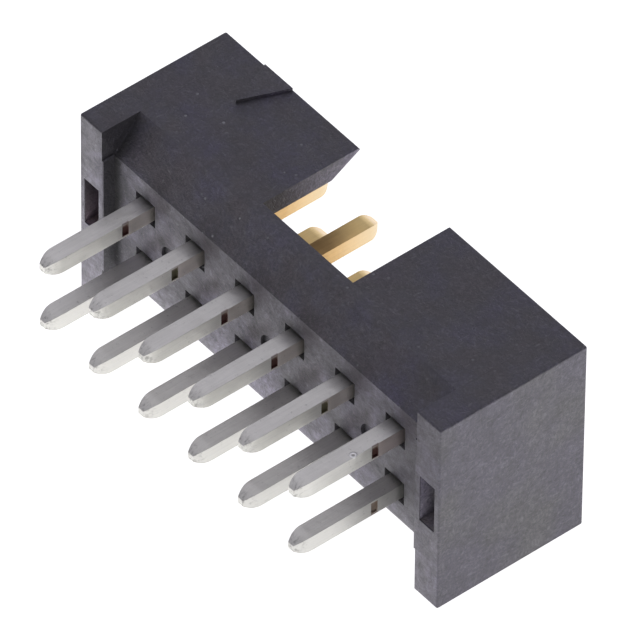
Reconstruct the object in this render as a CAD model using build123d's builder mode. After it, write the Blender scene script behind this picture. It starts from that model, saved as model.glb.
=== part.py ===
from build123d import *
import os

# Shrouded two-row pin header, millimetres
# X runs along the rows, +Y is the direction that the plug is pulled off, +Z is up through the slotted wall
# The origin is the middle of the pin field, on the plane where the stand-offs meet the board

# Pin field
columns = 6
rows = 2
pitch = 2.0
row_pitch = 2.0

# Contact pins, drawn from square wire
pin_side = 0.50
tail_reach = 2.98
tail_tip_length = 0.50
tail_tip_flat = 0.20
contact_reach = 4.63
contact_tip_length = 0.34
contact_tip_flat = 0.22
nick_start = -0.57
nick_length = 0.18
nick_height = 0.34
nick_depth = 0.05

# Housing, outer box
end_margin = 2.20
housing_width = 6.43
housing_height = 4.77
keying_offset = -0.235
edge_round = 0.06

# Tail side of the housing
standoff_height = 0.38
standoff_length = 0.90
standoff_step = 0.06
plate_width = 3.94
shoulder_height = 1.25
recess_side = 0.77
recess_depth = 0.30
mark_diameter = 0.70
mark_depth = 0.12
mark_spacing_columns = 2
end_pocket_length = 0.58
end_pocket_width = 1.58
end_pocket_depth = 1.10
end_pocket_wall = 0.18

# Mating side of the housing
floor_height = 1.60
side_wall = 0.61
end_wall = 0.95
lead_in_height = 0.92
lead_in_width = 0.54
slot_width = 3.60

# First-column mark
triangle_base = 1.12
triangle_length = 1.40
triangle_height = 0.11
triangle_rim_gap = 0.05

# Sizes that follow from the ones above
field_length = (columns - 1) * pitch
field_width = (rows - 1) * row_pitch
housing_length = field_length + 2 * end_margin
top = keying_offset + housing_width / 2
bottom = keying_offset - housing_width / 2
standoff_inner = housing_length / 2 - standoff_length
cavity_length = housing_length - 2 * end_wall
cavity_width = housing_width - 2 * side_wall
first_column = -field_length / 2
marks = (columns - 2) // mark_spacing_columns + 1
mark_pitch = mark_spacing_columns * pitch


# Work plane at a height along the mating direction, with sketch X along the row and sketch Y up
def mating_plane(height):
    return Plane(origin=(0, height, 0), x_dir=(1, 0, 0), z_dir=(0, -1, 0))


# Pin places in such a plane, row by row
def pin_grid():
    return GridLocations(pitch, row_pitch, columns, rows)


# Housing: one moulding in glass-filled nylon
with BuildPart() as housing:
    # Outer box with softened edges
    with BuildSketch(mating_plane(0)):
        with Locations((0, keying_offset)):
            Rectangle(housing_length, housing_width)
    extrude(amount=-housing_height)
    fillet(housing.edges(), radius=edge_round)

    # Tail side between the stand-offs: the pin plate with sloping shoulders up to the long walls
    slope = (shoulder_height - standoff_height) / (top - plate_width / 2)
    lower_slope = (shoulder_height - standoff_height) / (-plate_width / 2 - bottom)
    clear = housing_width
    with BuildSketch(Plane.YZ):
        with BuildLine():
            Polyline(
                (-clear, clear),
                (standoff_height + slope * (clear - plate_width / 2), clear),
                (standoff_height, plate_width / 2),
                (standoff_height, -plate_width / 2),
                (standoff_height + lower_slope * (clear - plate_width / 2), -clear),
                (-clear, -clear),
                close=True,
            )
        make_face()
    extrude(amount=standoff_inner, both=True, mode=Mode.SUBTRACT)

    # The middle of each stand-off is a little longer than its ends
    with BuildSketch(mating_plane(0)):
        with Locations((standoff_inner, 0), (-standoff_inner, 0)):
            Rectangle(2 * standoff_step, plate_width)
    extrude(amount=-standoff_height)

    # Plug cavity with a lead-in around its mouth
    with BuildSketch(mating_plane(floor_height)):
        with Locations((0, keying_offset)):
            Rectangle(cavity_length, cavity_width)
    extrude(amount=-(housing_height - floor_height), mode=Mode.SUBTRACT)
    with BuildSketch(mating_plane(housing_height - lead_in_height)):
        with Locations((0, keying_offset)):
            Rectangle(cavity_length, cavity_width)
    with BuildSketch(mating_plane(housing_height)):
        with Locations((0, keying_offset)):
            Rectangle(cavity_length + 2 * lead_in_width, cavity_width + 2 * lead_in_width)
    loft(mode=Mode.SUBTRACT)

    # Polarising slot through the upper wall
    with BuildSketch(Plane.XY.offset(keying_offset)):
        with Locations((0, floor_height)):
            Rectangle(slot_width, housing_height, align=(Align.CENTER, Align.MIN))
    extrude(amount=housing_width, mode=Mode.SUBTRACT)

    # A shallow square recess around each pin, and the hole that grips it
    with BuildSketch(mating_plane(standoff_height)):
        with pin_grid():
            Rectangle(recess_side, recess_side)
    extrude(amount=-recess_depth, mode=Mode.SUBTRACT)
    with BuildSketch(mating_plane(standoff_height)):
        with pin_grid():
            Rectangle(pin_side, pin_side)
    extrude(amount=-(floor_height - standoff_height), mode=Mode.SUBTRACT)

    # Round blind marks down the middle of the pin plate
    with BuildSketch(mating_plane(standoff_height)):
        with GridLocations(mark_pitch, row_pitch, marks, 1):
            Circle(mark_diameter / 2)
    extrude(amount=-mark_depth, mode=Mode.SUBTRACT)

    # Blind pocket in each stand-off, which keeps the thick end wall from sinking
    with BuildSketch(mating_plane(0)):
        pocket_middle = housing_length / 2 - end_pocket_wall - end_pocket_length / 2
        with Locations((pocket_middle, 0), (-pocket_middle, 0)):
            Rectangle(end_pocket_length, end_pocket_width)
    extrude(amount=-end_pocket_depth, mode=Mode.SUBTRACT)

    # Raised triangle that points at the first column
    with BuildSketch(Plane.XY.offset(top)):
        with BuildLine():
            rim_edge = housing_height - triangle_rim_gap
            Polyline(
                (first_column - triangle_base / 2, rim_edge),
                (first_column + triangle_base / 2, rim_edge),
                (first_column, rim_edge - triangle_length),
                close=True,
            )
        make_face()
    extrude(amount=triangle_height)

os.makedirs("parts", exist_ok=True)
housing.part.label = "housing"
export_step(housing.part, "parts/housing.step")


# Outline of a pin seen square to one pair of its faces, in sketch coordinates (side, reach)
def pin_outline(side_of_face):
    half = side_of_face / 2
    with BuildLine() as outline:
        tail_flat = (tail_tip_flat / 2, -tail_reach)
        tail_shoulder = (half, tail_tip_length - tail_reach)
        contact_shoulder = (half, contact_reach - contact_tip_length)
        contact_flat = (contact_tip_flat / 2, contact_reach)
        Line((0, -tail_reach), tail_flat)
        TangentArc(tail_shoulder, tail_flat, tangent=(0, -1))
        Line(tail_shoulder, contact_shoulder)
        TangentArc(contact_shoulder, contact_flat, tangent=(0, 1))
        Line(contact_flat, (0, contact_reach))
        mirror(about=Plane.YZ)
    return outline


for row in range(rows):
    row_letter = chr(ord("a") + row)
    row_height = ((rows - 1) / 2 - row) * row_pitch
    for column in range(columns):
        column_place = first_column + column * pitch

        # Contact pin: square wire with four-sided rounded tips
        with BuildPart() as pin:
            top_view = Plane(origin=(column_place, 0, row_height), x_dir=(1, 0, 0), z_dir=(0, 0, 1))
            with BuildSketch(top_view):
                add(pin_outline(pin_side))
                make_face()
            extrude(amount=pin_side / 2, both=True)
            side_view = Plane(origin=(column_place, 0, row_height), x_dir=(0, 0, 1), z_dir=(-1, 0, 0))
            with BuildSketch(side_view):
                add(pin_outline(pin_side))
                make_face()
            extrude(amount=pin_side, both=True, mode=Mode.INTERSECT)

            # Small nick that the feed tooling leaves in one side
            with BuildSketch(Plane.XY.offset(row_height)):
                with Locations((column_place + pin_side / 2, nick_start + nick_length / 2)):
                    Rectangle(2 * nick_depth, nick_length)
            extrude(amount=nick_height / 2, both=True, mode=Mode.SUBTRACT)

        pin.part.label = f"pin_{row_letter}{column + 1}"
        export_step(pin.part, f"parts/pin_{row_letter}{column + 1}.step")
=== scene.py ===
import math

import bpy
from mathutils import Matrix, Vector

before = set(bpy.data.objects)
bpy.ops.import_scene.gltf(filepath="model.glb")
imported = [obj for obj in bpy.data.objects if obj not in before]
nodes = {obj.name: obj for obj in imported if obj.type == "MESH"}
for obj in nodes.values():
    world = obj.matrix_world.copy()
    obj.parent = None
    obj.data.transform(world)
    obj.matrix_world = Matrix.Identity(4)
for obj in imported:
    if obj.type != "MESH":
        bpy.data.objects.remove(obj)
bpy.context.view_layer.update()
scene = bpy.context.scene

# Metres in a millimetre; every length below is in millimetres
MM = 0.001

# Sizes taken over from the CAD: the pins
PITCH = 2.0
TAIL_END = -2.98
CONTACT_SHOULDER = 4.29
NICK_START = -0.57
NICK_END = -0.39
NICK_HALF_HEIGHT = 0.17

# Sizes taken over from the CAD: the housing
HOUSING_TOP = 2.98
HOUSING_BOTTOM = -3.45
STANDOFF_INNER = 6.3
SLOT_HALF = 1.8
POCKET_INNER = 6.44
POCKET_OUTER = 7.02
POCKET_HALF_WIDTH = 0.79

# The floor lies just clear of the housing
FLOOR_Z = HOUSING_BOTTOM - 0.01

# The light from above is a little cool
COOL = (0.965, 0.95, 1.055)
WHITE = (1.0, 1.0, 1.0)


def direction(azimuth, elevation):
    """Unit vector from the object towards a viewer at that azimuth and elevation, in degrees."""
    a = math.radians(azimuth)
    e = math.radians(elevation)
    return Vector((math.sin(a) * math.cos(e), -math.cos(a) * math.cos(e), math.sin(e)))


def add_camera():
    """Camera at the photograph's viewing angle."""
    azimuth = 50.4
    elevation = 45.62
    roll = math.radians(0.652)
    distance = 386.1
    focal_pixels = 15259.0
    pixels_per_mm = 39.52
    picture_width = 640.0
    pixels_right = 0.9
    pixels_down = 1.4
    middle = Vector((0.0, 2.0, 0.0))
    back = direction(azimuth, elevation)
    level = Vector((math.cos(math.radians(azimuth)), math.sin(math.radians(azimuth)), 0.0))
    upright = back.cross(level)
    right = level * math.cos(roll) + upright * math.sin(roll)
    up = upright * math.cos(roll) - level * math.sin(roll)
    aim = middle + right * (pixels_right / pixels_per_mm) - up * (pixels_down / pixels_per_mm)
    data = bpy.data.cameras.new("camera")
    data.sensor_fit = "HORIZONTAL"
    data.sensor_width = 36.0
    data.lens = focal_pixels * data.sensor_width / picture_width
    data.clip_start = 0.01
    data.clip_end = 10.0
    camera = bpy.data.objects.new("camera", data)
    turn = Matrix((right, up, back)).transposed().to_4x4()
    camera.matrix_world = Matrix.Translation((aim + back * distance) * MM) @ turn
    scene.collection.objects.link(camera)
    scene.camera = camera


class Graph:
    """A short way to write a node tree: most calls add a node and give back its first output."""

    def __init__(self, tree):
        self.tree = tree
        tree.nodes.clear()

    def node(self, kind, inputs=(), **settings):
        """Adds a node; an input is a number, a vector, a colour or another node's output."""
        node = self.tree.nodes.new(kind)
        for key, value in settings.items():
            setattr(node, key, value)
        for key, value in dict(inputs).items():
            if isinstance(value, bpy.types.NodeSocket):
                self.tree.links.new(value, node.inputs[key])
            else:
                node.inputs[key].default_value = value
        return node

    def math(self, operation, a, b=0.0, clamp=False):
        settings = {"operation": operation, "use_clamp": clamp}
        return self.node("ShaderNodeMath", {0: a, 1: b}, **settings).outputs[0]

    def times(self, *factors):
        product = factors[0]
        for factor in factors[1:]:
            product = self.math("MULTIPLY", product, factor)
        return product

    def plus(self, *terms):
        total = terms[0]
        for term in terms[1:]:
            total = self.math("ADD", total, term)
        return total

    def minus(self, a, b):
        return self.math("SUBTRACT", a, b)

    def span(self, value, low, high, to_low=0.0, to_high=1.0):
        """Maps low..high to to_low..to_high and holds the ends."""
        values = {"Value": value, "From Min": low, "From Max": high, "To Min": to_low, "To Max": to_high}
        return self.node("ShaderNodeMapRange", values, clamp=True).outputs[0]

    def until(self, value, low, high):
        """1 up to low, falling to 0 at high."""
        return self.span(value, low, high, 1.0, 0.0)

    def ramp(self, factor, start, end):
        """Number start where factor is 0, number end where it is 1."""
        return self.span(factor, 0.0, 1.0, start, end)

    def within(self, value, low, high, soft):
        """1 where value lies between low and high, falling to 0 over soft on either side."""
        rise = self.span(value, low - soft, low)
        return self.times(rise, self.until(value, high, high + soft))

    def either(self, factor, a, b):
        """Number a where factor is 0, number b where it is 1; both may come from a node."""
        return self.node("ShaderNodeMix", {0: factor, 2: a, 3: b}, data_type="FLOAT").outputs[0]

    def blend(self, factor, a, b):
        """Colour a where factor is 0, colour b where it is 1."""
        return self.node("ShaderNodeMix", {0: factor, 6: a, 7: b}, data_type="RGBA").outputs[2]

    def vector(self, operation, a, b):
        return self.node("ShaderNodeVectorMath", {0: a, 1: b}, operation=operation).outputs[0]

    def scaled(self, vector, factor):
        """Vector or colour times a number."""
        values = {0: vector, "Scale": factor}
        return self.node("ShaderNodeVectorMath", values, operation="SCALE").outputs[0]

    def measure(self, operation, a, b=(0.0, 0.0, 0.0)):
        """Length of a, dot product of a and b, or distance between them."""
        values = {0: a, 1: b}
        return self.node("ShaderNodeVectorMath", values, operation=operation).outputs["Value"]

    def xyz(self, vector):
        return self.node("ShaderNodeSeparateXYZ", {0: vector}).outputs

    def flat(self, x, y):
        """Vector in one plane, for a distance in it."""
        return self.node("ShaderNodeCombineXYZ", {0: x, 1: y}).outputs[0]

    def place(self):
        """Position on the object, in millimetres."""
        return self.scaled(self.node("ShaderNodeTexCoord").outputs["Object"], 1.0 / MM)

    def facing(self):
        return self.node("ShaderNodeNewGeometry").outputs["Normal"]

    def rounded(self, radius, samples):
        """Normal as if the edges were rounded by radius."""
        return self.node("ShaderNodeBevel", {"Radius": radius * MM}, samples=samples).outputs[0]

    def openness(self, reach, only_local):
        """1 where nothing is near, towards 0 where surfaces close in: its own, or those of others too."""
        settings = {"samples": 8, "only_local": only_local}
        return self.node("ShaderNodeAmbientOcclusion", {"Distance": reach * MM}, **settings).outputs["AO"]

    def stretched(self, vector, scale, rotation=(0.0, 0.0, 0.0)):
        turn = tuple(math.radians(angle) for angle in rotation)
        values = {"Vector": vector, "Rotation": turn, "Scale": scale}
        return self.node("ShaderNodeMapping", values).outputs[0]

    def noise(self, vector, scale, detail=2.0, roughness=0.5):
        values = {"Vector": vector, "Scale": scale, "Detail": detail, "Roughness": roughness}
        return self.node("ShaderNodeTexNoise", values).outputs["Fac"]

    def cells(self, vector, scale):
        """Distance to the nearest scattered point, and a random number of that point."""
        cells = self.node("ShaderNodeTexVoronoi", {"Vector": vector, "Scale": scale})
        pick = self.node("ShaderNodeSeparateColor", {0: cells.outputs["Color"]}).outputs[0]
        return cells.outputs["Distance"], pick

    def bump(self, height, distance, normal=None):
        values = {"Height": height, "Distance": distance * MM, "Strength": 1.0}
        if normal is not None:
            values["Normal"] = normal
        return self.node("ShaderNodeBump", values).outputs[0]


def new_material(name):
    material = bpy.data.materials.new(name)
    material.use_nodes = True
    return material, Graph(material.node_tree)


def studio_rays(graph):
    """1 for the rays that the camera, gloss and glass send out, 0 for those that carry soft light."""
    path = graph.node("ShaderNodeLightPath")
    seen = graph.math("MAXIMUM", path.outputs["Is Camera Ray"], path.outputs["Is Glossy Ray"])
    return graph.math("MAXIMUM", seen, path.outputs["Is Transmission Ray"])


def floor_material():
    """Pale paper that glows like a light table: even where it is seen or mirrored."""
    paper_white = (0.86, 0.86, 0.86)
    shown_glow = 0.97

    # Its soft light fades with distance, is stronger on the left and weaker on the right
    row_squeeze = 0.7
    near_and_far = (9.0, 24.0)
    near_glow = 2.25
    far_glow = 0.35
    left_edge = -12.0
    left_share = 1.9
    right_edge = 10.0
    right_share = 0.6

    # A brighter patch lies far out on the right, towards the mating side
    patch_heading = (0.82, 0.57)
    patch_sides = (0.8, 1.2)
    patch_start = (12.0, 18.0)
    patch_glow = 2.4
    least_distance = 0.1

    material, graph = new_material("floor")
    x, y, _ = graph.xyz(graph.place())
    away = graph.measure("LENGTH", graph.flat(graph.times(x, row_squeeze), y))
    soft = graph.span(away, *near_and_far, near_glow, far_glow)
    soft = graph.times(soft, graph.span(x, left_edge, 0.0, left_share, 1.0))
    soft = graph.times(soft, graph.span(x, 0.0, right_edge, 1.0, right_share))
    ahead = graph.plus(graph.times(x, patch_heading[0]), graph.times(y, patch_heading[1]))
    patch = graph.span(graph.math("DIVIDE", ahead, graph.plus(away, least_distance)), *patch_sides)
    patch = graph.times(patch, graph.span(x, *patch_start, 0.0, patch_glow))
    glow = graph.either(studio_rays(graph), graph.plus(soft, patch), shown_glow)
    paper = graph.node("ShaderNodeBsdfDiffuse", {"Color": (*paper_white, 1)}).outputs[0]
    light = graph.node("ShaderNodeEmission", {"Color": (*WHITE, 1), "Strength": glow}).outputs[0]
    both = graph.node("ShaderNodeAddShader", {0: paper, 1: light}).outputs[0]
    graph.node("ShaderNodeOutputMaterial", {"Surface": both})
    return material


def add_floor():
    """Studio floor, just under the part."""
    half = 600 * MM
    level = FLOOR_Z * MM
    corners = [(-half, -half, level), (half, -half, level), (half, half, level), (-half, half, level)]
    mesh = bpy.data.meshes.new("floor")
    mesh.from_pydata(corners, [], [(0, 1, 2, 3)])
    mesh.materials.append(floor_material())
    floor = bpy.data.objects.new("floor", mesh)
    scene.collection.objects.link(floor)


def add_world():
    """White all round for the camera, dim soft light, and in reflections three brighter parts."""
    shown = 1.0
    soft = 0.14

    # Reflections: brighter overhead, on the left, and low behind the part
    above_heights = (0.3, 0.95)
    above_glow = (0.27, 0.42)
    left_heading = (-0.72, -0.58, 0.38)
    left_sides = (0.45, 0.95)
    left_glow = 0.16
    behind_heading = (-0.5, 0.86, 0.0)
    behind_sides = (0.70, 0.95)
    behind_heights = (0.30, 0.55)
    behind_glow = 1.0

    world = bpy.data.worlds.new("studio")
    scene.world = world
    world.use_nodes = True
    graph = Graph(world.node_tree)
    towards = graph.node("ShaderNodeTexCoord").outputs["Generated"]
    _, _, up = graph.xyz(towards)
    above = graph.span(up, *above_heights, *above_glow)
    left = graph.measure("DOT_PRODUCT", towards, left_heading)
    left = graph.span(left, *left_sides, 0.0, left_glow)
    behind = graph.measure("DOT_PRODUCT", towards, behind_heading)
    behind = graph.span(behind, *behind_sides, 0.0, behind_glow)
    behind = graph.times(behind, graph.until(up, *behind_heights))
    mirrored = graph.plus(above, left, behind)
    path = graph.node("ShaderNodeLightPath")
    seen = path.outputs["Is Camera Ray"]
    glossy = graph.math("MAXIMUM", path.outputs["Is Glossy Ray"], path.outputs["Is Transmission Ray"])
    strength = graph.either(seen, graph.either(glossy, soft, mirrored), shown)
    tone = graph.blend(seen, (*COOL, 1), (*WHITE, 1))
    sky = graph.node("ShaderNodeBackground", {"Color": tone, "Strength": strength}).outputs[0]
    graph.node("ShaderNodeOutputWorld", {"Surface": sky})


def add_lamp(name, azimuth, elevation, half_angle, brightness):
    """Round soft lamp, half_angle degrees across from its middle and brightness times as bright as white."""
    distance = 500 * MM
    data = bpy.data.lights.new(name, "AREA")
    data.shape = "DISK"
    data.size = 2 * distance * math.tan(math.radians(half_angle))
    area = math.pi * data.size**2 / 4
    data.energy = brightness * math.pi * area
    data.color = COOL
    lamp = bpy.data.objects.new(name, data)
    towards = direction(azimuth, elevation)
    lamp.location = towards * distance
    lamp.rotation_euler = towards.to_track_quat("Z", "Y").to_euler()
    lamp.visible_camera = False
    scene.collection.objects.link(lamp)


class Skin:
    """A material in the making: its graph, where a point lies and faces, and the colour so far in base."""

    def __init__(self, name):
        self.material, self.graph = new_material(name)
        self.place = self.graph.place()
        self.x, self.y, self.z = self.graph.xyz(self.place)
        self.facing = self.graph.facing()
        self.facing_x, self.facing_y, self.facing_z = self.graph.xyz(self.facing)
        self.base = None

    def shade(self, factor, share):
        """Makes the colour share times as bright where factor is 1."""
        self.base = self.graph.scaled(self.base, self.graph.ramp(factor, 1.0, share))

    def darken(self, amount):
        """Takes that part of the brightness away."""
        self.base = self.graph.scaled(self.base, self.graph.minus(1.0, amount))

    def film(self, factor, tone):
        """Lays a coloured film over the colour where factor is 1."""
        film = self.graph.blend(factor, (*WHITE, 1), (*tone, 1))
        self.base = self.graph.vector("MULTIPLY", self.base, film)

    def paint(self, factor, colour):
        """Covers the colour with another where factor is 1."""
        self.base = self.graph.blend(factor, self.base, (*colour, 1))

    def join_shader(self, **values):
        """Joins the colour and the other inputs to the shader."""
        inputs = {"Base Color": self.base, **values}
        shader = self.graph.node("ShaderNodeBsdfPrincipled", inputs)
        self.graph.node("ShaderNodeOutputMaterial", {"Surface": shader.outputs[0]})


class Plastic(Skin):
    """Moulded plastic: charcoal glass-filled nylon with fibre flecks, fine grain and rubbed edges."""

    def __init__(self):
        super().__init__("housing_plastic")
        graph = self.graph

        # Masks that several steps use, each 1 on the named part and 0 elsewhere
        tail_normal = (-0.85, -0.95)
        upper_normal = (0.4, 0.6)
        middle_normal = (-0.7, -0.95)
        shoulder_end = (1.2, 1.5)
        midline = (0.1, -0.1)
        lit_end = (4.6, 5.4)
        self.tail_side = graph.span(self.facing_y, *tail_normal)
        self.upper_side = graph.span(self.facing_z, *upper_normal)
        self.low_side = graph.until(self.y, *shoulder_end)
        self.left_half = graph.span(self.x, *midline)
        self.lit_slope = graph.times(self.upper_side, graph.span(self.x, *lit_end))
        outward_normal = graph.times(self.facing_x, graph.math("SIGN", self.x))
        self.faces_middle = graph.span(outward_normal, *middle_normal)

        # Distance from the middle of the row, and how open a place is between the housing's own walls
        corner_reach = 3.0
        self.outward = graph.math("ABSOLUTE", self.x)
        self.corner = graph.openness(corner_reach, only_local=True)

        self.make_patterns()
        self.colour_nylon()
        self.tone_upper_side()
        self.paint_corner_shade()
        self.paint_root_shade_and_light()
        self.paint_pin_shadows()
        self.paint_light_places()
        self.paint_pocket_light_and_shade()
        self.pit_beside_last_pin()
        self.scatter_fibre_ends()
        self.rub_edges()
        self.connect()

    def make_patterns(self):
        """Fibres, grain and patches, which the colour and the relief share."""
        graph = self.graph

        # A slow drift bends the fibre directions a little, the way the melt flowed
        drift_reach = 0.5
        mean = (0.5, 0.5, 0.5)
        drift = {"Vector": self.place, "Scale": 1.3, "Detail": 1.0}
        drift = graph.node("ShaderNodeTexNoise", drift).outputs["Color"]
        drift = graph.vector("SUBTRACT", drift, mean)
        self.flowed = graph.vector("ADD", self.place, graph.scaled(drift, drift_reach))

        # Sparse short fibres in three crossing directions, each given by its scales and turns
        crossings = (
            ((11.0, 4.8, 11.0), (25, 0, 15)),
            ((4.8, 11.0, 10.0), (-20, 30, -20)),
            ((11.0, 9.0, 4.8), (10, -35, 40)),
        )
        fibre_limits = (0.56, 0.76)
        fibre = 0.0
        for scales, turns in crossings:
            run = graph.stretched(self.flowed, scales, turns)
            run = graph.noise(run, scale=1.0, detail=2.0, roughness=0.6)
            fibre = graph.math("MAXIMUM", run, fibre)
        self.fibre = graph.span(fibre, *fibre_limits)

        # Random patches from fine to wide
        grain_limits = (0.25, 0.75)
        mottle_limits = (0.32, 0.68)
        cloud_limits = (0.30, 0.70)
        grain = graph.noise(self.place, scale=13.0, detail=2.0, roughness=0.8)
        mottle = graph.noise(self.place, scale=3.2, detail=6.0, roughness=0.75)
        cloud = graph.noise(self.place, scale=1.1, detail=4.0, roughness=0.6)
        self.grain = graph.span(grain, *grain_limits)
        self.mottle = graph.span(mottle, *mottle_limits)
        self.cloud = graph.span(cloud, *cloud_limits)

    def colour_nylon(self):
        """Charcoal with a violet cast that comes and goes; the tail side is coarser and made paler by
        painted light, and the upper side is made darker by painted shade.
        """
        graph = self.graph
        charcoal = (0.082, 0.077, 0.085)
        violet = (0.079, 0.071, 0.098)
        cast_limits = (0.40, 0.60)
        least_cast = 0.55
        fibre_swing = (-0.14, 0.34)
        fibre_share_on_tail_side = 0.45
        grain_swing = 0.42
        mottle_swing = 0.20
        mottle_more_on_tail_side = 0.36
        cloud_swing = 0.15
        cloud_swing_on_tail_side = 0.26
        tail_side_painted_light = 1.22
        upper_side_painted_shade = 0.72

        streaks = graph.ramp(self.fibre, *fibre_swing)
        streaks = graph.times(streaks, graph.ramp(self.tail_side, 1.0, fibre_share_on_tail_side))
        grain = graph.ramp(self.grain, -grain_swing, grain_swing)
        patches = graph.plus(mottle_swing, graph.times(self.tail_side, mottle_more_on_tail_side))
        patches = graph.times(graph.ramp(self.mottle, -1.0, 1.0), patches)
        shade = graph.plus(1.0, streaks, grain, patches)
        depth = graph.ramp(self.tail_side, cloud_swing, cloud_swing_on_tail_side)
        depth = graph.times(graph.ramp(self.cloud, -1.0, 1.0), depth)
        shade = graph.times(shade, graph.plus(1.0, depth))
        # Painted light on the tail side and painted shade on the upper side
        shade = graph.times(shade, graph.ramp(self.tail_side, 1.0, tail_side_painted_light))
        shade = graph.times(shade, graph.ramp(self.upper_side, 1.0, upper_side_painted_shade))
        cast = graph.noise(self.place, scale=0.45, detail=2.0, roughness=0.5)
        cast = graph.span(cast, *cast_limits)
        sides = graph.math("MAXIMUM", self.upper_side, self.tail_side)
        cast = graph.math("MAXIMUM", cast, graph.times(sides, least_cast))
        self.base = graph.scaled(graph.blend(cast, (*charcoal, 1), (*violet, 1)), shade)

    def tone_upper_side(self):
        """Cooler and warmer blotches, each a few millimetres wide."""
        graph = self.graph
        cool_limits = (0.48, 0.62)
        warm_limits = (0.50, 0.38)
        cool_tone = (1.0, 1.0, 1.22)
        warm_tone = (0.97, 0.91, 0.87)
        blotch = graph.noise(self.place, scale=0.7, detail=4.0, roughness=0.65)
        self.film(graph.times(graph.span(blotch, *cool_limits), self.upper_side), cool_tone)
        self.film(graph.times(graph.span(blotch, *warm_limits), self.upper_side), warm_tone)

    def paint_corner_shade(self):
        """Painted shade in inner corners, most of all on the tail side."""
        graph = self.graph
        corner_limits = (0.40, 0.92)
        corner_shade = 0.30
        corner_shade_on_low_side = 0.75
        wall_margin = 0.1
        wall_soft = 0.05
        wall_painted_shade = 0.45
        nook_width = (0.42, 0.16)
        nook_start = (0.1, 0.3)
        nook_painted_shade = 0.42

        # Painted shade where the housing's own walls close in
        dull = graph.until(self.corner, *corner_limits)
        dull = graph.times(dull, graph.ramp(self.low_side, corner_shade, corner_shade_on_low_side))
        between = graph.until(self.outward, STANDOFF_INNER + wall_soft, STANDOFF_INNER + wall_margin)
        self.darken(graph.times(dull, between, graph.ramp(self.lit_slope, 1.0, 0.0)))

        # Painted shade on the walls of the stand-offs that face the middle
        wall_sides = STANDOFF_INNER - wall_margin, STANDOFF_INNER + wall_margin
        wall = graph.within(self.outward, *wall_sides, wall_soft)
        self.shade(graph.times(self.faces_middle, self.low_side, wall), wall_painted_shade)

        # Painted shade on the strip of the plate beside the left stand-off
        strip = graph.span(self.x, nook_width[0] - STANDOFF_INNER, nook_width[1] - STANDOFF_INNER)
        strip = graph.times(strip, self.tail_side, graph.span(self.y, *nook_start))
        self.shade(strip, nook_painted_shade)

    def paint_root_shade_and_light(self):
        """Painted shade darkens the plate round the pins' roots, and painted light makes it paler where
        nothing is near.
        """
        graph = self.graph
        margin = 0.1
        lower_edge = (-2.6, -1.6)
        plate_normal = (-0.3, -0.7)
        reach = 1.7
        near_and_free = (0.60, 0.97)
        darkest = 0.74
        palest = -0.37

        plate = graph.until(self.outward, STANDOFF_INNER - margin, STANDOFF_INNER)
        plate = graph.times(self.low_side, plate, graph.span(self.z, *lower_edge))
        plate = graph.times(plate, graph.span(self.facing_y, *plate_normal))
        self.plate = graph.times(plate, graph.ramp(self.lit_slope, 1.0, 0.0))
        among = graph.openness(reach, only_local=False)
        # Painted shade near the pins, painted light where nothing is near
        root_shade_and_light = graph.span(among, *near_and_free, darkest, palest)
        self.darken(graph.times(root_shade_and_light, self.plate))

    def paint_pin_shadows(self):
        """Painted shadows of the pins on the plate, beside and above the pins of the upper row."""
        graph = self.graph
        streak_offset = 0.15
        streak_start = 1.15
        streak_end = 1.70
        streak_soft = 0.4
        streak_width = (0.08, 0.45)
        streak_strength = 0.62
        last_gap_end = (4.3, 4.6)
        blot_x = 1.5
        blot_z = 1.85
        blot_radii = (0.10, 0.60)
        blot_strength = 0.58
        ragged_limits = (0.3, 0.7)
        ragged_swing = (0.6, 1.25)
        tone = (1.10, 0.92, 0.96)

        # A slanting painted shadow in each gap between two pins
        ahead = graph.math("FLOORED_MODULO", graph.minus(self.x, streak_offset), PITCH)
        off_line = graph.math("ABSOLUTE", graph.minus(self.z, graph.minus(ahead, streak_start)))
        shadow_streak = graph.until(off_line, *streak_width)
        shadow_streak = graph.times(shadow_streak, graph.within(ahead, streak_start, streak_end, streak_soft))
        shadow_streak = graph.times(shadow_streak, graph.until(self.x, *last_gap_end), streak_strength)

        # A round painted shadow above each
        beside = graph.minus(graph.math("FLOORED_MODULO", self.x, PITCH), blot_x)
        above = graph.minus(self.z, blot_z)
        shadow_blot = graph.measure("LENGTH", graph.flat(beside, above))
        shadow_blot = graph.span(shadow_blot, *blot_radii, blot_strength, 0.0)
        ragged = graph.noise(self.place, scale=1.7, detail=3.0)
        ragged = graph.span(ragged, *ragged_limits, *ragged_swing)
        # The painted shadows are ragged, darker and a little warmer
        painted_shadow = graph.times(graph.plus(shadow_streak, shadow_blot), ragged, self.plate)
        self.darken(painted_shadow)
        self.film(painted_shadow, tone)

    def paint_light_places(self):
        """Painted light: places made paler where more light falls on them."""
        graph = self.graph

        # Painted light on the slot's cheeks towards the mouth
        cheek_margin = 0.1
        cheek_soft = 0.05
        cheek_lit_span = (2.2, 4.4)
        cheek_painted_light = 3.9
        cheek_sides = SLOT_HALF - cheek_margin, SLOT_HALF + cheek_margin
        cheek = graph.within(self.outward, *cheek_sides, cheek_soft)
        cheek = graph.times(self.faces_middle, cheek, graph.span(self.y, *cheek_lit_span))
        self.shade(cheek, cheek_painted_light)

        # Painted light on the flanks of the raised triangle
        flank_start = (0.005, 0.015)
        flank_normal = (0.3, 0.1)
        flank_painted_light = 1.7
        raised = graph.span(self.z, HOUSING_TOP + flank_start[0], HOUSING_TOP + flank_start[1])
        self.shade(graph.times(raised, graph.span(self.facing_z, *flank_normal)), flank_painted_light)

        # Painted light on the slope at its right end, which catches a little more light
        slope_normal = (-0.3, -0.6)
        slope_painted_light = 1.10
        slope = graph.times(self.lit_slope, graph.span(self.facing_y, *slope_normal))
        self.shade(slope, slope_painted_light)

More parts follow.
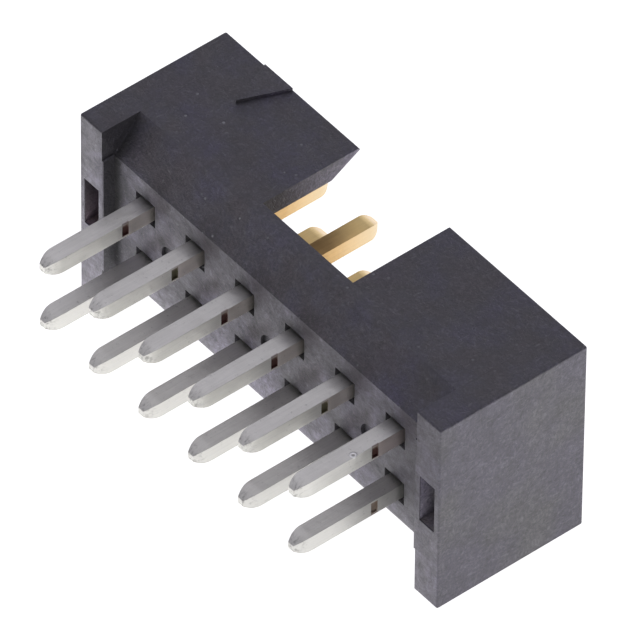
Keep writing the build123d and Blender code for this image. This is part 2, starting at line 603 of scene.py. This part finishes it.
        # Painted light on the feet of the stand-offs, towards their lower ends
        foot_edge = 0.05
        foot_lit_span = (-0.8, -2.2)
        foot_painted_light = 1.18
        foot = graph.span(self.outward, STANDOFF_INNER - foot_edge, STANDOFF_INNER + foot_edge)
        foot = graph.times(self.tail_side, foot, graph.span(self.z, *foot_lit_span))
        self.shade(foot, foot_painted_light)

    def paint_pocket_light_and_shade(self):
        """Painted shade makes the end pockets dark on the left, and painted light makes them pale on the
        right and palest on the lower ledge.
        """
        graph = self.graph
        soft = 0.02
        inner = POCKET_INNER - 0.04
        outer = POCKET_OUTER + soft
        mouth = 0.04
        bottom = 1.2
        midline = (-0.1, 0.1)
        left_painted_shade = -0.60
        right_painted_light = 1.9
        ledge_painted_light = 1.6
        left_foot_start = (0.3, -0.8)
        left_foot_painted_light = 0.9
        left_tone = (1.20, 0.95, 1.0)
        ledge_tone = (1.0, 0.99, 0.76)

        pocket = graph.within(self.outward, inner, outer, soft)
        pocket = graph.times(pocket, graph.within(self.y, mouth, bottom, soft))
        across = graph.math("ABSOLUTE", self.z)
        pocket = graph.times(pocket, graph.until(across, POCKET_HALF_WIDTH, POCKET_HALF_WIDTH + soft))
        # Painted shade on the left; painted light on the right, on the ledge and low in the left pocket
        pocket_light_change = graph.span(self.x, *midline, left_painted_shade, right_painted_light)
        ledge = graph.ramp(self.upper_side, 0.0, ledge_painted_light)
        left_foot = graph.span(self.z, *left_foot_start, 0.0, left_foot_painted_light)
        pocket_light_change = graph.plus(pocket_light_change, ledge, graph.times(self.left_half, left_foot))
        self.base = graph.scaled(self.base, graph.plus(1.0, graph.times(pocket, pocket_light_change)))
        # Tints that go with the painted shade and light
        self.film(graph.times(pocket, self.left_half), left_tone)
        self.film(graph.times(pocket, self.upper_side), ledge_tone)

    def pit_beside_last_pin(self):
        """One larger pit in the stand-off beside the last pin."""
        middle = (6.37, -0.02, 2.01)
        radii = (0.03, 0.07)
        strength = 0.85
        dark = (0.025, 0.023, 0.024)
        away = self.graph.measure("DISTANCE", self.place, middle)
        self.paint(self.graph.span(away, *radii, strength, 0.0), dark)

    def scatter_fibre_ends(self):
        """Pale specks of fibre ends in small dark pits, and a few longer fibres bare in the skin."""
        graph = self.graph
        dark = (0.035, 0.032, 0.040)
        pale = (0.36, 0.36, 0.39)

        # Specks: most on the upper side, fewer towards the right
        speck_density = 2.6
        speck_chance = (0.48, 0.90)
        speck_share_elsewhere = 0.25
        thinning = (0.5, 2.5)
        speck_share_right = 0.35
        pit_radii = (0.13, 0.24)
        pit_strength = 0.40
        speck_radii = (0.07, 0.13)
        speck_strength = 0.90
        away, pick = graph.cells(self.place, speck_density)
        chosen = graph.span(pick, *speck_chance)
        chosen = graph.times(chosen, graph.ramp(self.upper_side, speck_share_elsewhere, 1.0))
        chosen = graph.times(chosen, graph.span(self.x, *thinning, 1.0, speck_share_right))
        self.pit = graph.times(graph.until(away, *pit_radii), chosen)
        self.paint(graph.times(self.pit, pit_strength), dark)
        speck = graph.times(graph.until(away, *speck_radii), chosen)

        # Longer fibres, all slanting the same way
        hair_scales = (4.2, 1.0, 4.2)
        hair_turns = (35, 15, 30)
        hair_radii = (0.09, 0.17)
        hair_chance = (0.6, 1.0)
        hair_strength = 0.24
        away, pick = graph.cells(graph.stretched(self.flowed, hair_scales, hair_turns), 1.0)
        hair = graph.times(graph.until(away, *hair_radii), graph.span(pick, *hair_chance))
        speck = graph.times(speck, speck_strength)
        self.paint(graph.math("ADD", speck, graph.times(hair, hair_strength), clamp=True), pale)

    def rub_edges(self):
        """Outer edges are rubbed a little paler, here and there."""
        graph = self.graph
        pale = (0.15, 0.147, 0.165)
        radius = 0.045
        flat_and_edge = (0.97, 0.80)
        uneven_limits = (0.35, 0.65)
        uneven_strength = (0.1, 0.4)
        hollow_and_outer = (0.70, 0.85)
        agree = graph.measure("DOT_PRODUCT", graph.rounded(radius, samples=4), self.facing)
        uneven = graph.noise(self.place, scale=3.0, detail=2.0)
        uneven = graph.span(uneven, *uneven_limits, *uneven_strength)
        outer = graph.span(self.corner, *hollow_and_outer)
        self.paint(graph.times(graph.span(agree, *flat_and_edge), uneven, outer), pale)

    def connect(self):
        """Roughness and relief."""
        graph = self.graph
        grain_rough = (0.48, 0.64)
        fibre_rough = (0.04, -0.07)
        fibre_share = 0.4
        grain_share = 0.5
        mottle_share = (0.4, 1.0)
        cloud_height = 0.022
        relief_height = 0.013
        line_height = 0.006
        line_half = 0.01
        line_soft = 0.03
        pit_depth = 1.5
        refraction = 1.72

        rough = graph.plus(graph.ramp(self.grain, *grain_rough), graph.ramp(self.fibre, *fibre_rough))
        fibre = graph.times(self.fibre, fibre_share)
        grain = graph.times(self.grain, grain_share)
        mottle = graph.times(self.mottle, graph.ramp(self.tail_side, *mottle_share))
        relief = graph.plus(fibre, grain, mottle)
        normal = graph.bump(relief, relief_height, graph.bump(self.cloud, cloud_height))

        # A faint witness line across the top, where the end block of the mould meets the middle
        line_sides = STANDOFF_INNER - line_half, STANDOFF_INNER + line_half
        line = graph.within(self.outward, *line_sides, line_soft)
        line = graph.minus(line, graph.times(self.pit, pit_depth))
        normal = graph.bump(line, line_height, normal)
        self.join_shader(Roughness=rough, Normal=normal, IOR=refraction)


class Wire(Skin):
    """Contact wire: bright tin on the tail, gold on the mating end, bare base metal in the nick."""

    def __init__(self):
        super().__init__("pin_metal")
        graph = self.graph

        # Drawing lines along the wire, cloudy plating and small pits
        patch_limits = (0.30, 0.70)
        pit_limits = (0.62, 0.74)
        lines = graph.stretched(self.place, (26.0, 0.9, 26.0))
        lines = graph.noise(lines, scale=1.0, detail=3.0, roughness=0.6)
        self.lines = graph.span(lines, *patch_limits)
        cloud = graph.stretched(self.place, (1.0, 0.6, 1.0))
        cloud = graph.noise(cloud, scale=1.6, detail=3.0, roughness=0.6)
        self.cloud = graph.span(cloud, *patch_limits)
        pits = graph.noise(self.place, scale=9.0, detail=3.0, roughness=0.7)
        self.pits = graph.span(pits, *pit_limits)

        # The gold starts at an uneven border
        border = (0.9, 1.15)
        uneven = 0.15
        plating = graph.plus(self.y, graph.ramp(self.cloud, -uneven, uneven))
        self.golden = graph.span(plating, *border)

        line_swing = (0.94, 1.04)
        gold = self.gold_end()
        tin = self.tin_end()
        self.base = graph.blend(self.golden, tin, gold)
        self.base = graph.scaled(self.base, graph.ramp(self.lines, *line_swing))
        self.scuff_tip()
        self.bare_nick()
        self.raise_burr()
        self.connect()

    def gold_end(self):
        """Gold, paler towards the tip; its upper face has painted shade, a painted brown reflection of the
        dark housing near the floor and a cooler painted shade at the root, and the facet by the shoulder has
        a painted highlight.
        """
        graph = self.graph
        deep = (0.85, 0.59, 0.285)
        pale = (0.80, 0.645, 0.415)
        brown = (0.36, 0.23, 0.10)
        upper_tone = (0.97, 0.93, 0.69)
        facet_highlight_tone = (1.10, 1.08, 0.86)
        root_tone = (0.72, 0.73, 0.88)
        deep_to_pale = (3.1, 4.5)
        cloud_swing = (0.95, 1.06)
        upper_normal = (0.90, 0.97)
        upper_end = CONTACT_SHOULDER - 0.03, CONTACT_SHOULDER + 0.05
        upper_painted_shade = 0.86
        facet_normal = (0.5, 0.8)
        facet_ends = CONTACT_SHOULDER + 0.03, CONTACT_SHOULDER + 0.11
        facet_soft = 0.06
        dark_reflection_end = (2.9, 3.6)
        dark_reflection_strength = 0.6
        root_end = (3.1, 4.0)

        self.base = graph.blend(graph.span(self.y, *deep_to_pale), (*deep, 1), (*pale, 1))
        self.base = graph.scaled(self.base, graph.ramp(self.cloud, *cloud_swing))
        upper = graph.times(graph.span(self.facing_z, *upper_normal), graph.until(self.y, *upper_end))
        facet = graph.within(self.y, *facet_ends, facet_soft)
        facet = graph.times(graph.span(self.facing_z, *facet_normal), facet)
        dark_reflection = graph.times(upper, graph.until(self.y, *dark_reflection_end), dark_reflection_strength)
        # Painted shade and painted reflection on the upper face, painted highlight on the facet
        self.shade(upper, upper_painted_shade)
        self.paint(dark_reflection, brown)
        self.film(upper, upper_tone)
        self.film(facet, facet_highlight_tone)
        # Cooler painted shade on the upper face at the root
        self.film(graph.times(upper, graph.until(self.y, *root_end)), root_tone)
        return self.base

    def tin_end(self):
        """Tin; in the upper row its side has painted light outside the nick, and is redder at the root."""
        graph = self.graph
        dull = (0.63, 0.62, 0.58)
        clear = (0.72, 0.71, 0.67)
        lower_row = (0.66, 0.65, 0.615)
        root_tone = (1.04, 0.98, 0.97)
        last_root_tone = (0.93, 0.88, 0.90)
        between_rows = (-0.5, 0.5)
        pit_share = 0.72
        side_normal = (0.7, 0.9)
        upper_row = (0.3, 0.5)
        bright_ends = -1.3, NICK_START - 0.05
        bright_soft = 0.5
        side_painted_light = 1.13
        last_column = (4.5, 4.6)

        self.base = graph.blend(self.cloud, (*dull, 1), (*clear, 1))
        self.paint(graph.until(self.z, *between_rows), lower_row)
        self.shade(self.pits, pit_share)
        side = graph.times(graph.span(self.facing_x, *side_normal), graph.span(self.z, *upper_row))
        bright = graph.times(side, graph.within(self.y, *bright_ends, bright_soft))
        # Painted light on the side of the upper row
        self.shade(bright, side_painted_light)
        root = graph.times(side, graph.span(self.y, NICK_START, NICK_END))
        self.film(root, root_tone)
        self.film(graph.times(root, graph.span(self.x, *last_column)), last_root_tone)
        return self.base

    def scuff_tip(self):
        """The cut tips are scuffed."""
        graph = self.graph
        tip_start = TAIL_END + 0.38, TAIL_END + 0.08
        scuff_scales = (14.0, 6.0, 9.0)
        scuff_turns = (20, 0, 35)
        scuff_limits = (0.50, 0.66)
        scuff_share = 0.62
        scuff = graph.stretched(self.place, scuff_scales, scuff_turns)
        scuff = graph.noise(scuff, scale=1.0, detail=3.0, roughness=0.7)
        self.scuff = graph.times(graph.span(self.y, *tip_start), graph.span(scuff, *scuff_limits))
        self.shade(self.scuff, scuff_share)

    def bare_nick(self):
        """Bare metal in the nick, redder on some pins than on others, and a stain on the edge above it."""
        graph = self.graph
        red = (0.095, 0.046, 0.040)
        green = (0.115, 0.105, 0.065)
        upper_part = (0.42, 0.36, 0.32)
        lower_row = (0.40, 0.34, 0.27)
        stain = (0.16, 0.085, 0.07)
        soft = 0.01
        nick_ends = NICK_START - 0.005, NICK_END + 0.018
        nick_half = NICK_HALF_HEIGHT + 0.02
        nick_side = (0.10, 0.13)
        upper_part_start = (0.05, 0.16)
        upper_part_strength = 0.75
        between_rows = (-0.1, 0.1)
        lower_row_strength = 0.55
        stain_start = (0.18, 0.21)
        stain_side = (0.21, 0.235)
        stain_strength = (0.6, 0.1)

        # Where a point lies in its own pin: across from the middle, and up from it
        across = graph.minus(graph.math("FLOORED_MODULO", self.x, PITCH), PITCH / 2)
        upward = graph.minus(graph.math("ABSOLUTE", self.z), PITCH / 2)
        beside = graph.within(self.y, *nick_ends, soft)
        beside = graph.times(beside, graph.span(across, *nick_side))
        self.inside = graph.times(beside, graph.within(upward, -nick_half, nick_half, soft))
        greener = graph.within(graph.math("ABSOLUTE", self.x), PITCH, 2 * PITCH, soft)
        upper = graph.span(upward, *upper_part_start, 0.0, upper_part_strength)
        lower = graph.span(self.z, *between_rows, lower_row_strength, 0.0)
        bare = graph.blend(greener, (*red, 1), (*green, 1))
        bare = graph.blend(upper, bare, (*upper_part, 1))
        bare = graph.blend(lower, bare, (*lower_row, 1))
        self.base = graph.blend(self.inside, self.base, bare)
        edge = graph.times(beside, graph.span(upward, *stain_start), graph.span(across, *stain_side))
        self.paint(graph.times(edge, graph.ramp(greener, *stain_strength)), stain)

    def raise_burr(self):
        """One small raised burr on the edge of the last pin, with a painted highlight on its ring and
        painted shade in its hollow.
        """
        graph = self.graph
        middle = (5.17, -1.12, 1.25)
        hollow_radii = (0.02, 0.05)
        hollow_painted_shade = 0.62
        ring_radii = (0.055, 0.085)
        ring_soft = 0.025
        ring_painted_highlight = 0.8
        bright = (0.90, 0.90, 0.89)
        away = graph.measure("DISTANCE", self.place, middle)
        self.ring = graph.within(away, *ring_radii, ring_soft)
        # Painted shade in the hollow, painted highlight on the ring
        self.base = graph.scaled(self.base, graph.span(away, *hollow_radii, hollow_painted_shade, 1.0))
        self.paint(graph.times(self.ring, ring_painted_highlight), bright)

    def connect(self):
        """Roughness and relief."""
        graph = self.graph
        edge_radius = 0.022
        line_height = 0.0016
        swell_height = 0.0025
        scuff_depth = 0.004
        burr_height = 0.010
        swell_limits = (0.3, 0.7)
        cloud_rough = (0.33, 0.41)
        line_rough = (-0.03, 0.04)
        worn_rough = 0.25
        tin_metallic = 0.86

        rough = graph.plus(graph.ramp(self.cloud, *cloud_rough), graph.ramp(self.lines, *line_rough))
        worn = graph.math("MAXIMUM", self.inside, self.scuff)
        rough = graph.plus(rough, graph.times(worn, worn_rough))
        swell = graph.span(graph.noise(self.place, scale=5.0, detail=2.0), *swell_limits)
        normal = graph.rounded(edge_radius, samples=6)
        normal = graph.bump(self.lines, line_height, normal)
        normal = graph.bump(swell, swell_height, normal)
        normal = graph.bump(self.scuff, -scuff_depth, normal)
        normal = graph.bump(self.ring, burr_height, normal)
        metal = graph.ramp(self.golden, tin_metallic, 1.0)
        self.join_shader(Metallic=metal, Roughness=rough, Normal=normal)


def soften(node, width, segments):
    """Joins the doubled corners of a CAD mesh and rounds its sharp edges."""
    weld = node.modifiers.new("weld", "WELD")
    weld.merge_threshold = 0.0001 * MM
    bevel = node.modifiers.new("soft_edges", "BEVEL")
    bevel.width = width * MM
    bevel.segments = segments
    bevel.limit_method = "ANGLE"
    bevel.angle_limit = math.radians(38)
    bevel.use_clamp_overlap = True
    bevel.miter_outer = "MITER_ARC"
    flat = node.modifiers.new("shading", "WEIGHTED_NORMAL")
    flat.keep_sharp = False
    flat.weight = 80


add_camera()
add_floor()
add_world()
add_lamp("top_lamp", azimuth=180, elevation=78, half_angle=30, brightness=0.57)
add_lamp("back_lamp", azimuth=-135, elevation=30, half_angle=30, brightness=0.16)

housing_material = Plastic().material
pin_material = Wire().material
for name, node in nodes.items():
    node.data.materials.clear()
    node.data.materials.append(housing_material if name == "housing" else pin_material)
    if name == "housing":
        soften(node, width=0.035, segments=3)

scene.view_settings.view_transform = "Standard"
